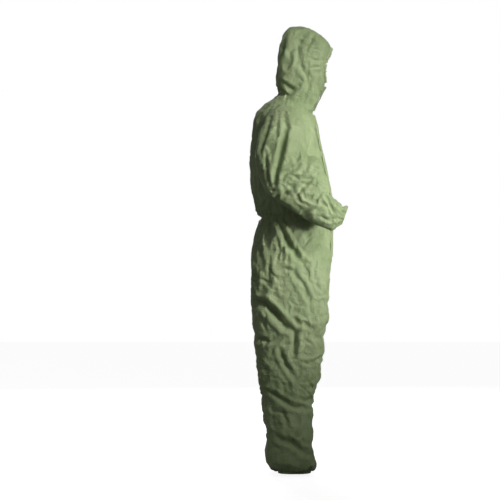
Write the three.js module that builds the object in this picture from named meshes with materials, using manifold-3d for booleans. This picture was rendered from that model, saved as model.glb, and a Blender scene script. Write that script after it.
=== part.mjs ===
// A hooded chemical protective coverall, standing as it hangs on its wearer.
// Millimetres, +Z up, +X the way the wearer faces, +Y the wearer's left.
// Heights below are measured from the trouser hems. The last lines move the origin up to the
// point between the wearer's shoulders, where the suit is carried.
import * as THREE from "three";
import { mergeVertices } from "three/addons/utils/BufferGeometryUtils.js";
import Module from "manifold-3d";

const wasm = await Module();
wasm.setup();

// ---------------------------------------------------------------- driving dimensions
const CARRY_HEIGHT = 1440; // shoulder seam, where the wearer carries the suit
const WALL = 2; // fabric wall, thickened from the real 0.15 mm laminate
const GAP = 0.3; // between two pieces that are sewn or welded edge to edge
const SLIP = 0.5; // between two pieces that slide past each other
const SEGMENTS = 20; // facets round a tube
const SHOULDER_SEGMENTS = 44; // finer, because the sleeve head turns in the armhole
const OVAL = 2.3; // 2 is an ellipse, more is squarer

const THROAT = { x: 92, z: 1436 }; // top of the zip
const ZIP_FOOT = { x: 163, z: 1106 }; // where the straight chest ends
const ZIP_END = 876; // height of the zip's lower end
const FRONT_SPLIT = 12; // half the opening between the two front panels
const TAPE_WIDTH = 14;
const TAPE_THICK = 0.8;
const ZIP_SINK = 1.2; // the zip sits this far inside the chest's mid line, where the front rounds away
const POST_HALF = 1; // the slider's post, between the two rows of teeth
const TEETH_WIDTH = 2.6;
const TEETH_THICK = 2.4;
const SLIDER_LENGTH = 14;
const SLIDER_HALF = 6;
const SLIDER_WALL = 1.2;
const PULL_LENGTH = 30;
const FLAP_HALF = 26;
const FLAP_THICK = 1.2;
const FLAP_RISE = 11.5; // the flap stands this far off the chest over the slider
const CHIN_FLAP_HALF = 46;

const CHEST_HALF = 176;
const SHOULDER = { x: -25, z: 1362 };
const ARMHOLE = 86; // radius of the sleeve head
const ARM_Y = 258; // middle of the sleeve from the suit's mid-plane
const SLEEVE_HALF = 62; // half the sleeve's width, side to side
const ELBOW_BACK = [-84, 1152];
const ELBOW_FRONT = [60, 1252];
const CUFF_HALF = 30; // half the closed cuff, side to side

const HIP_FRONT = [163, 862];
const HIP_BACK = [-153, 772];
const LEG_INNER = 5; // gap between the legs, from the mid-plane
const LEG_OUTER = 198;
const KNEE_BACK = [-140, 548];
const KNEE_FRONT = [128, 488];
const HEM_HEIGHT = 52; // ankle casing

const NAPE = [-54, 1519];
const NECK_FRONT = [90, 1449];
const FACE = { z: 1640, halfHeight: 70, halfWidth: 62, binding: 12 };
const WAIST = { z: 1036, halfBand: 10 };
const BAND_THICK = 1.6; // knitted elastic

const degrees = THREE.MathUtils.degToRad;

// ---------------------------------------------------------------- materials
const laminate = new THREE.MeshStandardMaterial({ color: "#66794f", roughness: 0.72, metalness: 0 });
const laminateShade = new THREE.MeshStandardMaterial({ color: "#5c6f46", roughness: 0.74, metalness: 0 });
const seamTape = new THREE.MeshStandardMaterial({ color: "#71855a", roughness: 0.5, metalness: 0 });
const elasticKnit = new THREE.MeshStandardMaterial({ color: "#e6e4da", roughness: 0.9, metalness: 0 });
const nylon = new THREE.MeshStandardMaterial({ color: "#4a5a3a", roughness: 0.45, metalness: 0 });
const enamel = new THREE.MeshStandardMaterial({ color: "#41502f", roughness: 0.35, metalness: 0.3 });
const liner = new THREE.MeshStandardMaterial({ color: "#f1efe6", roughness: 0.35, metalness: 0 });

// ---------------------------------------------------------------- solids and booleans
// A three.js geometry as a closed solid, with its faces turned out.
function solid(geometry) {
  const bare = geometry.index ? geometry.toNonIndexed() : geometry.clone();
  bare.deleteAttribute("normal");
  bare.deleteAttribute("uv");
  const merged = mergeVertices(bare, 1e-3);
  const points = merged.attributes.position;
  const faces = [];
  let volume = 0;
  const [a, b, c] = [new THREE.Vector3(), new THREE.Vector3(), new THREE.Vector3()];
  for (let i = 0; i < merged.index.count; i += 3) {
    const [p, q, r] = [0, 1, 2].map((k) => merged.index.getX(i + k));
    if (p === q || q === r || r === p) continue;
    faces.push([p, q, r]);
    a.fromBufferAttribute(points, p);
    b.fromBufferAttribute(points, q);
    c.fromBufferAttribute(points, r);
    volume += a.dot(b.cross(c));
  }
  if (volume < 0) faces.forEach((face) => face.reverse());
  return new wasm.Manifold(
    new wasm.Mesh({ numProp: 3, vertProperties: points.array, triVerts: new Uint32Array(faces.flat()) }),
  );
}

function geometryOf(manifold) {
  const { vertProperties, triVerts } = manifold.getMesh();
  const geometry = new THREE.BufferGeometry();
  geometry.setAttribute("position", new THREE.BufferAttribute(new Float32Array(vertProperties), 3));
  geometry.setIndex(new THREE.BufferAttribute(new Uint32Array(triVerts), 1));
  geometry.computeVertexNormals();
  return geometry;
}

function node(name, shape, material, parent) {
  const mesh = new THREE.Mesh(shape.isBufferGeometry ? shape : geometryOf(shape), material);
  mesh.name = name;
  parent.add(mesh);
  return mesh;
}

function block([x0, x1], [y0, y1], [z0, z1]) {
  const geometry = new THREE.BoxGeometry(x1 - x0, y1 - y0, z1 - z0);
  return geometry.translate((x0 + x1) / 2, (y0 + y1) / 2, (z0 + z1) / 2);
}

const FAR = 900;
const slab = (low, high) => solid(block([-FAR, FAR], [-FAR, FAR], [low, high]));

// Everything below the line through two points of the side view, taken right across the suit.
// A lift moves the line up, square to itself.
function below([x0, z0], [x1, z1], lift = 0) {
  const slope = Math.atan2(z1 - z0, x1 - x0);
  const half = block([-FAR, FAR], [-FAR, FAR], [-2 * FAR, lift]);
  return solid(half.rotateY(-slope).translate((x0 + x1) / 2, 0, (z0 + z1) / 2));
}
const mirrored = (shape) => shape.mirror([0, 1, 0]);

// ---------------------------------------------------------------- tubes of cloth
// A section is an oval between a back and a front point of the side view, and between two widths.
const section = (back, front, inner, outer, power = OVAL) => ({ back, front, inner, outer, power });
const rounded = (value, power) => Math.sign(value) * Math.abs(value) ** (2 / power);

function tube(sections, grow = 0) {
  const geometry = new THREE.CylinderGeometry(1, 1, 1, SEGMENTS, sections.length - 1);
  const points = geometry.attributes.position;
  for (let i = 0; i < points.count; i++) {
    const row = Math.round((0.5 - points.getY(i)) * (sections.length - 1));
    const { back, front, inner, outer, power } = sections[row];
    const [dx, dz] = [front[0] - back[0], front[1] - back[1]];
    const half = Math.hypot(dx, dz) / 2;
    const along = rounded(points.getX(i), power) * (1 + grow / half);
    const across = rounded(points.getZ(i), power) * ((outer - inner) / 2 + grow);
    points.setXYZ(
      i,
      (back[0] + front[0]) / 2 + (along * dx) / 2,
      (inner + outer) / 2 + across,
      (back[1] + front[1]) / 2 + (along * dz) / 2,
    );
  }
  return solid(geometry);
}

// The same sections with one more past each end, square to the end section.
function prolonged(sections, by) {
  const past = (end, next) => {
    const [dx, dz] = [end.front[0] - end.back[0], end.front[1] - end.back[1]];
    const length = Math.hypot(dx, dz);
    const step = [(-dz / length) * by, (dx / length) * by];
    const towards = (next.front[0] + next.back[0] - end.front[0] - end.back[0]) * step[0] +
      (next.front[1] + next.back[1] - end.front[1] - end.back[1]) * step[1];
    const sign = towards > 0 ? -1 : 1;
    const moved = ([x, z]) => [x + sign * step[0], z + sign * step[1]];
    return { ...end, back: moved(end.back), front: moved(end.front) };
  };
  const last = sections.length - 1;
  return [past(sections[0], sections[1]), ...sections, past(sections[last], sections[last - 1])];
}

const openTube = (sections, grow = 0, wall = WALL) =>
  tube(sections, grow).subtract(tube(prolonged(sections, 6), grow - wall));

// ---------------------------------------------------------------- body panels
const chestX = (z) => ZIP_FOOT.x - ((Math.max(z, ZIP_FOOT.z) - ZIP_FOOT.z) * (ZIP_FOOT.x - THROAT.x)) /
  (THROAT.z - ZIP_FOOT.z);
const bodySection = (back, frontZ, half) => section(back, [chestX(frontZ), frontZ], -half, half);
const BODY = [
  bodySection([-52, 1537], 1467, 72),
  bodySection([-60, 1510], 1444, 84),
  bodySection([-101, 1487], 1432, 122),
  bodySection([-129, 1451], 1416, 152),
  bodySection([-145, 1400], 1392, CHEST_HALF - 8),
  bodySection([-152, 1338], 1338, CHEST_HALF - 3),
  bodySection([-158, 1257], 1257, CHEST_HALF),
  bodySection([-157, 1177], 1177, CHEST_HALF),
  bodySection([-146, 1096], ZIP_FOOT.z, CHEST_HALF),
  bodySection([-125, WAIST.z], WAIST.z, CHEST_HALF),
  bodySection([-136, 990], 996, CHEST_HALF + 10),
  bodySection([-151, 915], 938, CHEST_HALF + 20),
  bodySection([-153, 834], 892, CHEST_HALF + 24),
  bodySection([-153, 740], 838, CHEST_HALF + 24),
];
const belowNeck = () => below(NAPE, NECK_FRONT);
const belowHips = (lift = 0) => below(HIP_BACK, HIP_FRONT, lift);

function armhole(radius) {
  const bore = new THREE.CylinderGeometry(radius, radius, 2 * FAR, SHOULDER_SEGMENTS);
  const clear = solid(bore.translate(SHOULDER.x, 0, SHOULDER.z));
  return clear.subtract(solid(block([-FAR, FAR], [-100, 100], [0, 2 * FAR])));
}

const sideBlock = (x, y) => solid(block(x, y, [-FAR, 3 * FAR]));

function bodyPanels(root) {
  const shell = openTube(BODY).intersect(belowNeck()).subtract(belowHips()).subtract(armhole(ARMHOLE + SLIP));
  const front = shell.intersect(sideBlock([GAP / 2, FAR], [-FAR, FAR]));
  const back = shell.intersect(sideBlock([-FAR, -GAP / 2], [-FAR, FAR]));
  const left = front.intersect(sideBlock([-FAR, FAR], [FRONT_SPLIT, FAR]));
  node("front_panel_left", left, laminate, root);
  node("front_panel_right", mirrored(left), laminate, root);
  const backLeft = back.intersect(sideBlock([-FAR, FAR], [GAP / 2, FAR]));
  node("back_panel_left", backLeft, laminateShade, root);
  node("back_panel_right", mirrored(backLeft), laminateShade, root);
}

// A strip of a tube's surface: what its skin, between two growths, has inside a block.
const skin = (sections, low, high) => tube(sections, high).subtract(tube(prolonged(sections, 6), low));

function waistElastic(root) {
  const reach = 60; // the band goes round the back and sides
  const ring = skin(BODY, -WALL - GAP - BAND_THICK, -WALL - GAP)
    .intersect(slab(WAIST.z - WAIST.halfBand, WAIST.z + WAIST.halfBand));
  node("waist_elastic", ring.intersect(sideBlock([-FAR, reach], [-FAR, FAR])), elasticKnit, root);
}

// Welded tapes over the seams of the body.
function bodySeamTapes(root) {
  const half = 9;
  const thick = 0.8;
  const cover = skin(BODY, GAP, GAP + thick);
  const low = HIP_BACK[1] + 52;
  const side = cover.intersect(solid(block([-half, half], [100, FAR], [low, SHOULDER.z - ARMHOLE - 4])));
  node("side_seam_tape_left", side, seamTape, root);
  node("side_seam_tape_right", mirrored(side), seamTape, root);
  const centreBack = cover.intersect(solid(block([-FAR, -40], [-half, half], [HIP_BACK[1] + 12, 1500])));
  node("centre_back_tape", centreBack, seamTape, root);
}

// The diamond-shaped insert between the tops of the legs.
function crotchGusset(root) {
  const plate = tube(BODY, -WALL - GAP).intersect(belowHips(WALL)).subtract(belowHips());
  const leg = tube(prolonged(thighSections(), 60), -WALL);
  const pieces = plate.subtract(leg).subtract(mirrored(leg)).decompose();
  node("crotch_gusset", pieces.reduce((a, b) => (a.volume() > b.volume() ? a : b)), laminateShade, root);
}

// ---------------------------------------------------------------- legs
function thighSections() {
  const leg = (back, front, inner = LEG_INNER, outer = LEG_OUTER) => section(back, front, inner, outer);
  return [
    leg([-153, 800], [163, 890]),
    leg([-153, 734], [157, 780]),
    leg([-150, 660], [148, 680]),
    leg([-144, 590], [146, 590], LEG_INNER + 4, LEG_OUTER - 6),
    leg([-141, 556], [134, 520], LEG_INNER + 6, LEG_OUTER - 8),
    leg([-138, 526], [124, 450], LEG_INNER + 8, LEG_OUTER - 10),
  ];
}

function shinSections() {
  const leg = (back, front, inner, outer) => section(back, front, inner, outer);
  return [
    leg([-141, 574], [130, 514], 11, 190),
    leg([-139, 520], [126, 452], 13, 188),
    leg([-125, 400], [116, 380], 16, 185),
    leg([-110, 290], [89, 290], 19, 182),
    leg([-92, 180], [92, 180], 22, 180),
    leg([-96, 96], [92, 100], 24, 180),
    leg([-80, 66], [99, 66], 26, 178),
    section([-58, HEM_HEIGHT + GAP], [86, HEM_HEIGHT + GAP], 42, 166, 2),
  ];
}

function hemSections() {
  return [
    section([-58, HEM_HEIGHT], [86, HEM_HEIGHT], 42, 166, 2),
    section([-50, 26], [86, 26], 46, 162, 2),
    section([-30, 0], [76, 0], 56, 152, 2),
  ];
}

function leg(root, side) {
  const place = side === "left" ? (shape) => shape : mirrored;
  const front = sideBlock([GAP / 2, FAR], [-FAR, FAR]);
  const back = sideBlock([-FAR, -GAP / 2], [-FAR, FAR]);
  const thigh = openTube(thighSections()).intersect(belowHips(-GAP)).subtract(below(KNEE_BACK, KNEE_FRONT));
  node(`thigh_front_${side}`, place(thigh.intersect(front)), laminate, root);
  node(`thigh_back_${side}`, place(thigh.intersect(back)), laminateShade, root);
  const shin = openTube(shinSections()).intersect(below(KNEE_BACK, KNEE_FRONT, -GAP));
  node(`shin_front_${side}`, place(shin.intersect(front)), laminate, root);
  node(`shin_back_${side}`, place(shin.intersect(back)), laminateShade, root);
  node(`ankle_hem_${side}`, place(openTube(hemSections())), laminate, root);
  const band = skin(hemSections(), -WALL - GAP - BAND_THICK, -WALL - GAP).intersect(slab(8, 24));
  node(`ankle_elastic_${side}`, place(band), elasticKnit, root);
}

// ---------------------------------------------------------------- sleeves
function upperSleeveSections() {
  const [inner, outer] = [ARM_Y - SLEEVE_HALF, ARM_Y + SLEEVE_HALF];
  const { x, z } = SHOULDER;
  return [
    section([x - 48, z + 12], [x + 48, z + 14], inner + 14, outer - 12),
    section([x - 76, z - 12], [x + 74, z - 8], inner + 4, outer - 2),
    section([-122, 1300], [55, 1318], inner, outer),
    section([-118, 1220], [60, 1282], inner, outer),
    section([-84, 1130], [60, 1230], inner, outer),
  ];
}

function forearmSections() {
  const part = (low, high, half) => section(low, high, ARM_Y - half, ARM_Y + half);
  return [
    part([-90, 1175], [58, 1277], SLEEVE_HALF),
    part([-60, 1118], [92, 1262], SLEEVE_HALF - 1),
    part([-14, 1074], [116, 1234], SLEEVE_HALF - 2),
    part([56, 1030], [138, 1178], SLEEVE_HALF - 6),
    part([118, 1000], [160, 1116], 48),
    part([158, 992], [184, 1076], 38),
    part([174, 1000], [193, 1060], 31),
  ];
}

function cuffSections() {
  const part = (low, high, half) => section(low, high, ARM_Y - half, ARM_Y + half, 2);
  return [
    part([174.4, 1002], [193, 1060], CUFF_HALF - 1),
    part([188, 999], [207, 1059], CUFF_HALF),
    part([208, 992], [229, 1057], CUFF_HALF + 2),
  ];
}

// The head of the sleeve: a full turn of an oval about the sideways axis of the shoulder.
function sleeveHead(grow) {
  const steps = 6;
  const start = 150; // the head starts to round over here, just outside the armhole
  const half = ARM_Y + SLEEVE_HALF + grow - start;
  const profile = [new THREE.Vector2(0, 60), new THREE.Vector2(ARMHOLE + grow, 60)];
  for (let i = 0; i <= steps; i++) {
    const angle = degrees((90 * i) / steps);
    const radius = i < steps ? (ARMHOLE + grow) * Math.cos(angle) : 0;
    profile.push(new THREE.Vector2(radius, start + half * Math.sin(angle)));
  }
  profile.push(new THREE.Vector2(0, 60));
  return solid(new THREE.LatheGeometry(profile, SHOULDER_SEGMENTS).translate(SHOULDER.x, 0, SHOULDER.z));
}

function sleeve(root, side) {
  const place = side === "left" ? (shape) => shape : mirrored;
  const aboveElbow = below(ELBOW_BACK, ELBOW_FRONT);
  const inside = tube(prolonged(upperSleeveSections(), 20), -WALL).intersect(slab(1000, SHOULDER.z + 12));
  const upper = sleeveHead(0).add(tube(upperSleeveSections()))
    .subtract(sleeveHead(-WALL).add(inside))
    .subtract(aboveElbow)
    .subtract(sideBlock([-FAR, FAR], [-FAR, 138]));
  node(`upper_sleeve_${side}`, place(upper), laminate, root);
  const forearm = openTube(forearmSections())
    .intersect(below(ELBOW_BACK, ELBOW_FRONT, -GAP))
    .subtract(sideBlock([174.2, FAR], [-FAR, FAR]).intersect(slab(0, 1001)));
  node(`forearm_sleeve_${side}`, place(forearm), laminate, root);
  return place;
}

function cuff(root, side) {
  const place = side === "left" ? (shape) => shape : mirrored;
  const first = forearmSections().at(-1);
  const past = below(first.back, first.front, -GAP);
  node(`cuff_hem_${side}`, place(openTube(cuffSections()).intersect(past)), laminate, root);
  const band = skin(cuffSections(), -WALL - GAP - BAND_THICK, -WALL - GAP)
    .intersect(past)
    .intersect(solid(block([185, 199], [0, FAR], [900, 1100])));
  node(`wrist_elastic_${side}`, place(band), elasticKnit, root);
}

// ---------------------------------------------------------------- hood
const HOOD = [
  section([4, 1798], [40, 1797], -14, 14),
  section([-30, 1764], [98, 1780], -62, 62),
  section([-44, 1722], [150, 1744], -88, 88),
  section([-50, 1668], [163, 1708], -96, 96),
  section([-52, 1620], [150, 1664], -97, 97),
  section([-50, 1575], [138, 1610], -92, 92),
  section([-48, 1545], [136, 1560], -86, 86),
  section([-50, 1528], [116, 1502], -80, 80),
  section([-54, 1512], [88, 1436], -74, 74),
];

function hood(root) {
  const { z, halfHeight, halfWidth, binding } = FACE;
  const opening = (grow) => {
    const hole = new THREE.CylinderGeometry(1, 1, FAR, SEGMENTS).rotateZ(Math.PI / 2);
    return solid(hole.scale(1, halfWidth + grow, halfHeight + grow).translate(FAR / 2 + 60, 0, z));
  };
  const closed = tube(HOOD).subtract(tube([...HOOD, prolonged(HOOD, 20).at(-1)], -WALL));
  const shell = closed.subtract(belowNeck().add(below(NAPE, NECK_FRONT, GAP))).subtract(opening(binding + GAP));
  const seam = 44; // half the width of the centre panel
  node("hood_side_left", shell.intersect(sideBlock([-FAR, FAR], [seam + GAP / 2, FAR])), laminate, root);
  node("hood_side_right", shell.intersect(sideBlock([-FAR, FAR], [-FAR, -seam - GAP / 2])), laminate, root);
  const centre = shell.intersect(sideBlock([-FAR, FAR], [-seam + GAP / 2, seam - GAP / 2]));
  const crown = centre.subtract(solid(block([60, FAR], [-FAR, FAR], [0, z])));
  node("hood_centre_panel", crown, laminateShade, root);
  const throat = centre.intersect(solid(block([60, FAR], [-FAR, FAR], [0, z - GAP])));
  node("hood_throat_panel", throat, laminate, root);
  const ring = closed.intersect(opening(binding)).subtract(opening(0));
  node("face_elastic", ring.intersect(sideBlock([60, FAR], [-FAR, FAR])), elasticKnit, root);
}

// ---------------------------------------------------------------- zip and flaps
// Paths of the side view that run down the chest, a given distance off the cloth.
const ZIP_TILT = Math.atan((ZIP_FOOT.x - THROAT.x) / (THROAT.z - ZIP_FOOT.z));
const ZIP_RUN = (THROAT.z - ZIP_FOOT.z) / Math.cos(ZIP_TILT);
const outward = { x: Math.cos(ZIP_TILT), z: Math.sin(ZIP_TILT) };
const CHAIN_BACK = GAP + (TAPE_THICK - TEETH_THICK) / 2;

// A bar that follows the zip, between two distances off the cloth and two widths.
function bar(low, high, y0, y1, top = 0, end = ZIP_END) {
  const down = (height) => {
    const off = height - ZIP_SINK;
    const start = { x: THROAT.x + off * outward.x + top * outward.z, z: THROAT.z + off * outward.z - top * outward.x };
    const foot = { x: ZIP_FOOT.x + off, z: ZIP_FOOT.z + off * Math.tan(ZIP_TILT / 2) };
    return [start, foot, { x: ZIP_FOOT.x + off, z: end }];
  };
  const outline = new THREE.Shape([...down(high), ...down(low).reverse()].map(({ x, z }) => new THREE.Vector2(x, z)));
  const geometry = new THREE.ExtrudeGeometry(outline, { depth: y1 - y0, bevelEnabled: false });
  return solid(geometry.rotateX(Math.PI / 2).translate(0, y1, 0));
}

// The chest frame: local +Z runs up the straight chest, local +X out of it, from the throat.
const onChest = (shape) => shape.rotate([0, -THREE.MathUtils.radToDeg(ZIP_TILT), 0])
  .translate([THROAT.x - ZIP_SINK * outward.x, 0, THROAT.z - ZIP_SINK * outward.z]);
const FOOT_X = ZIP_FOOT.x - ZIP_SINK; // the straight lower zip

function zip(root) {
  const inner = POST_HALF + GAP;
  const outer = inner + TEETH_WIDTH;
  const top = 4; // the teeth start this far below the throat
  const tape = bar(GAP, GAP + TAPE_THICK, outer + GAP, outer + GAP + TAPE_WIDTH);
  const teeth = bar(CHAIN_BACK, CHAIN_BACK + TEETH_THICK, inner, outer, top, ZIP_END + 6 + GAP);
  const stop = onChest(solid(block([CHAIN_BACK, CHAIN_BACK + TEETH_THICK], [inner, outer], [-top + GAP, -0.2])));
  for (const [side, place] of [["left", (shape) => shape], ["right", mirrored]]) {
    node(`zip_tape_${side}`, place(tape), laminateShade, root);
    node(`zip_teeth_${side}`, place(teeth), nylon, root);
    node(`zip_top_stop_${side}`, place(stop), enamel, root);
  }
  const foot = block([FOOT_X + CHAIN_BACK, FOOT_X + CHAIN_BACK + TEETH_THICK], [-outer, outer], [ZIP_END, ZIP_END + 6]);
  node("zip_bottom_stop", solid(foot), enamel, root);
}

const SLIDER_TOP = -4 - GAP;
const SLIDER_FACE = CHAIN_BACK + TEETH_THICK + SLIP + SLIDER_WALL;
const PIVOT = { x: SLIDER_FACE + 1.2, z: SLIDER_TOP - 5.5 };

function zipSlider(root) {
  const back = CHAIN_BACK - SLIP - SLIDER_WALL;
  const [low, high] = [SLIDER_TOP - SLIDER_LENGTH, SLIDER_TOP];
  const outline = new THREE.Shape();
  outline.moveTo(-SLIDER_HALF + 1.2, low);
  outline.lineTo(SLIDER_HALF - 1.2, low);
  outline.lineTo(SLIDER_HALF, high - 4);
  outline.lineTo(SLIDER_HALF, high);
  outline.lineTo(-SLIDER_HALF, high);
  outline.lineTo(-SLIDER_HALF, high - 4);
  const wings = new THREE.ExtrudeGeometry(outline, { depth: SLIDER_FACE - back, bevelEnabled: false });
  wings.applyMatrix4(new THREE.Matrix4().makeBasis(
    new THREE.Vector3(0, 1, 0), new THREE.Vector3(0, 0, 1), new THREE.Vector3(1, 0, 0)));
  const past = 2;
  const channel = block([CHAIN_BACK - SLIP, CHAIN_BACK + TEETH_THICK + SLIP], [-SLIDER_HALF - past, SLIDER_HALF + past],
    [low - past, high + past]);
  const post = block([back, SLIDER_FACE], [-POST_HALF, POST_HALF], [high - 6, high]);
  const lug = block([SLIDER_FACE - 0.4, SLIDER_FACE + 2.6], [-1.2, 1.2], [PIVOT.z - 2.5, PIVOT.z + 2.5]);
  const eye = new THREE.CylinderGeometry(0.9, 0.9, 8, 12).translate(PIVOT.x, 0, PIVOT.z);
  const slider = solid(wings.translate(back, 0, 0)).subtract(solid(channel)).add(solid(post)).add(solid(lug))
    .subtract(solid(eye));
  node("zip_slider", onChest(slider), enamel, root);
}

function zipPull(root) {
  const thick = 1.2;
  const [near, far] = [1.2 + GAP, 3.2];
  const front = PIVOT.x + thick / 2;
  const pin = new THREE.CylinderGeometry(0.6, 0.6, 2 * far, 12).translate(PIVOT.x, 0, PIVOT.z);
  const arm = block([PIVOT.x - thick / 2, front], [near, far], [PIVOT.z - 6, PIVOT.z + 1.2]);
  const tab = block([PIVOT.x - thick / 2, front], [-far, far], [PIVOT.z - PULL_LENGTH, PIVOT.z - 4.5]);
  const cordHole = new THREE.CylinderGeometry(1.2, 1.2, 8, 12).rotateZ(Math.PI / 2)
    .translate(PIVOT.x, 0, PIVOT.z - PULL_LENGTH + 5);
  const pull = solid(pin).add(solid(arm)).add(mirrored(solid(arm))).add(solid(tab)).subtract(solid(cordHole));
  node("zip_pull", onChest(pull), nylon, root);
}

// The flap's section, sewn along its +Y edge: it rises over the slider and comes down to its free edge.
function flapSection(thick) {
  const off = FLAP_THICK / 2;
  const line = [[FLAP_HALF, 1.5 + off], [19, 1.5 + off], [11, FLAP_RISE + off], [-11, FLAP_RISE + off],
    [-16, 2.6 + off], [-FLAP_HALF, 2.6 + off]];
  const up = line.map(([y, x]) => [y, x + thick / 2]);
  const down = line.map(([y, x]) => [y, x - thick / 2]).reverse();
  return new THREE.Shape([...up, ...down].map(([y, x]) => new THREE.Vector2(y, x)));
}

// The section drawn along a length of the chest frame.
function flap(low, high) {
  const geometry = new THREE.ExtrudeGeometry(flapSection(FLAP_THICK), { depth: high - low, bevelEnabled: false });
  geometry.applyMatrix4(new THREE.Matrix4().makeBasis(
    new THREE.Vector3(0, 1, 0), new THREE.Vector3(1, 0, 0), new THREE.Vector3(0, 0, 1)));
  return solid(geometry.translate(0, 0, low));
}

const TURN_BACK = (FLAP_RISE + FLAP_THICK + 3) * Math.tan(ZIP_TILT / 2);

function stormFlap(upper, root) {
  node("storm_flap_upper", onChest(flap(-ZIP_RUN + 1, -1)), laminate, upper);
  const adhesive = block([1.6, 1.6 + 0.7], [-FLAP_HALF + 1, -FLAP_HALF + 8], [-ZIP_RUN + 8, -8]);
  node("storm_flap_adhesive", onChest(solid(adhesive)), liner, upper);
  const lower = flap(ZIP_END - 10 - ZIP_FOOT.z, -TURN_BACK).translate([FOOT_X, 0, ZIP_FOOT.z]);
  node("storm_flap_lower", lower, laminate, root);
}

// The chin flap lies on the front of the hood, below the face.
const CHIN_LINE = [[96, 1462], [144, 1556]];
function chinFlap(root) {
  const [low, high] = CHIN_LINE;
  const cover = skin(HOOD, 1, 1 + FLAP_THICK)
    .intersect(solid(block([40, FAR], [-CHIN_FLAP_HALF, CHIN_FLAP_HALF], [low[1] - 6, high[1] - 2])));
  node("chin_flap", cover, laminate, root);
  const sticky = skin(HOOD, GAP, GAP + 0.4)
    .intersect(solid(block([40, FAR], [-CHIN_FLAP_HALF + 2, -CHIN_FLAP_HALF + 12], [low[1] + 2, high[1] - 10])));
  node("chin_flap_adhesive", sticky, liner, root);
}

// ---------------------------------------------------------------- the suit
const suit = new THREE.Group();
suit.name = "chemical_protective_suit";
const placed = (name) => {
  const group = new THREE.Group();
  group.name = name;
  suit.add(group);
  return group;
};

const torso = placed("torso");
bodyPanels(torso);
bodySeamTapes(torso);
crotchGusset(torso);
waistElastic(torso);
zip(torso);
const flapGroup = placed("storm_flap");
stormFlap(flapGroup, torso);
const sliderGroup = placed("slider");
zipSlider(sliderGroup);
zipPull(sliderGroup);
const hoodGroup = placed("hood");
hood(hoodGroup);
chinFlap(hoodGroup);
for (const side of ["left", "right"]) {
  const arm = placed(`arm_${side}`);
  sleeve(arm, side);
  cuff(arm, side);
  leg(placed(`leg_${side}`), side);
}
suit.position.z = -CARRY_HEIGHT;

export default suit;
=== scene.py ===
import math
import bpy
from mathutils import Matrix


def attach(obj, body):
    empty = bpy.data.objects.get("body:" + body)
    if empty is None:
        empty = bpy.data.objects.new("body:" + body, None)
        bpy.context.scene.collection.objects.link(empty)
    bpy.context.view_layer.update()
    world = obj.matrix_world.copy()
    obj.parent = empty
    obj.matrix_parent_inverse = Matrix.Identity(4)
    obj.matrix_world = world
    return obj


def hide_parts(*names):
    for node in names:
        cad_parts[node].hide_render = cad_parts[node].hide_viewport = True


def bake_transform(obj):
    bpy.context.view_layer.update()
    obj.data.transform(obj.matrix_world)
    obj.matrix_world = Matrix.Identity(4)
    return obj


bl_info = {
    "name": "Chemical protective suit",
    "version": (1, 0, 0),
    "blender": (4, 5, 0),
    "location": "3D View > Sidebar > Protective suit",
    "description": "A hooded coated non-woven coverall, as it hangs on its wearer",
    "category": "Add Mesh",
}

import bmesh
import bpy
import numpy as np
from mathutils import Matrix, Vector, noise
from mathutils.bvhtree import BVHTree

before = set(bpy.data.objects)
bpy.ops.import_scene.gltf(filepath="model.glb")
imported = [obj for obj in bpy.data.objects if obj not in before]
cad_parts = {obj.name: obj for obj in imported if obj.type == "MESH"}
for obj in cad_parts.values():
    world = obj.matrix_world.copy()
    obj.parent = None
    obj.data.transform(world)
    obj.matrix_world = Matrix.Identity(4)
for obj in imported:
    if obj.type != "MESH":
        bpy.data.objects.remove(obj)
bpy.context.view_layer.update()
CARRY_HEIGHT = 1440  # millimetres from the trouser hems up to the frame's origin
LEFT, RIGHT = 1, -1
SIDES = (("left", LEFT), ("right", RIGHT))


def at(x, y, height):
    """A point given in millimetres, its height above the hems, in the frame's metres."""
    return Vector((x / 1000, y / 1000, (height - CARRY_HEIGHT) / 1000))


def in_millimetres(point):
    """A point of the frame's in millimetres, as a height above the hems."""
    return point * 1000 + Vector((0, 0, CARRY_HEIGHT))


def linear(code):
    """An sRGB hex colour as Blender's linear RGBA."""
    parts = [int(code[i : i + 2], 16) / 255 for i in (1, 3, 5)]
    return [c / 12.92 if c <= 0.04045 else ((c + 0.055) / 1.055) ** 2.4 for c in parts] + [1.0]


# ---- the suit's form
# Each ring is the cloth round the body at one level: its back and front points in the side view,
# and how far it reaches sideways.
TRUNK = [
    ((-2, 1792), (52, 1794), 26),
    ((-24, 1768), (94, 1779), 58),
    ((-38, 1735), (134, 1750), 80),
    ((-46, 1690), (164, 1716), 94),
    ((-49, 1650), (160, 1684), 98),
    ((-52, 1605), (146, 1640), 98),
    ((-51, 1568), (140, 1596), 93),
    ((-48, 1540), (140, 1562), 87),
    ((-50, 1520), (124, 1520), 82),
    ((-66, 1502), (104, 1478), 84),
    ((-105, 1482), (88, 1446), 108),
    ((-136, 1450), (95, 1420), 143),
    ((-150, 1412), (102, 1390), 163),
    ((-152, 1338), (111, 1345), 172),
    ((-158, 1257), (129, 1265), 176),
    ((-157, 1177), (147, 1180), 177),
    ((-147, 1100), (162, 1105), 176),
    ((-136, 1056), (163, 1062), 174),
    ((-128, 1036), (163, 1036), 172),
    ((-131, 1005), (163, 1005), 179),
    ((-146, 920), (163, 930), 190),
    ((-153, 860), (162, 888), 196),
    ((-152, 822), (158, 846), 190),
]
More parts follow.
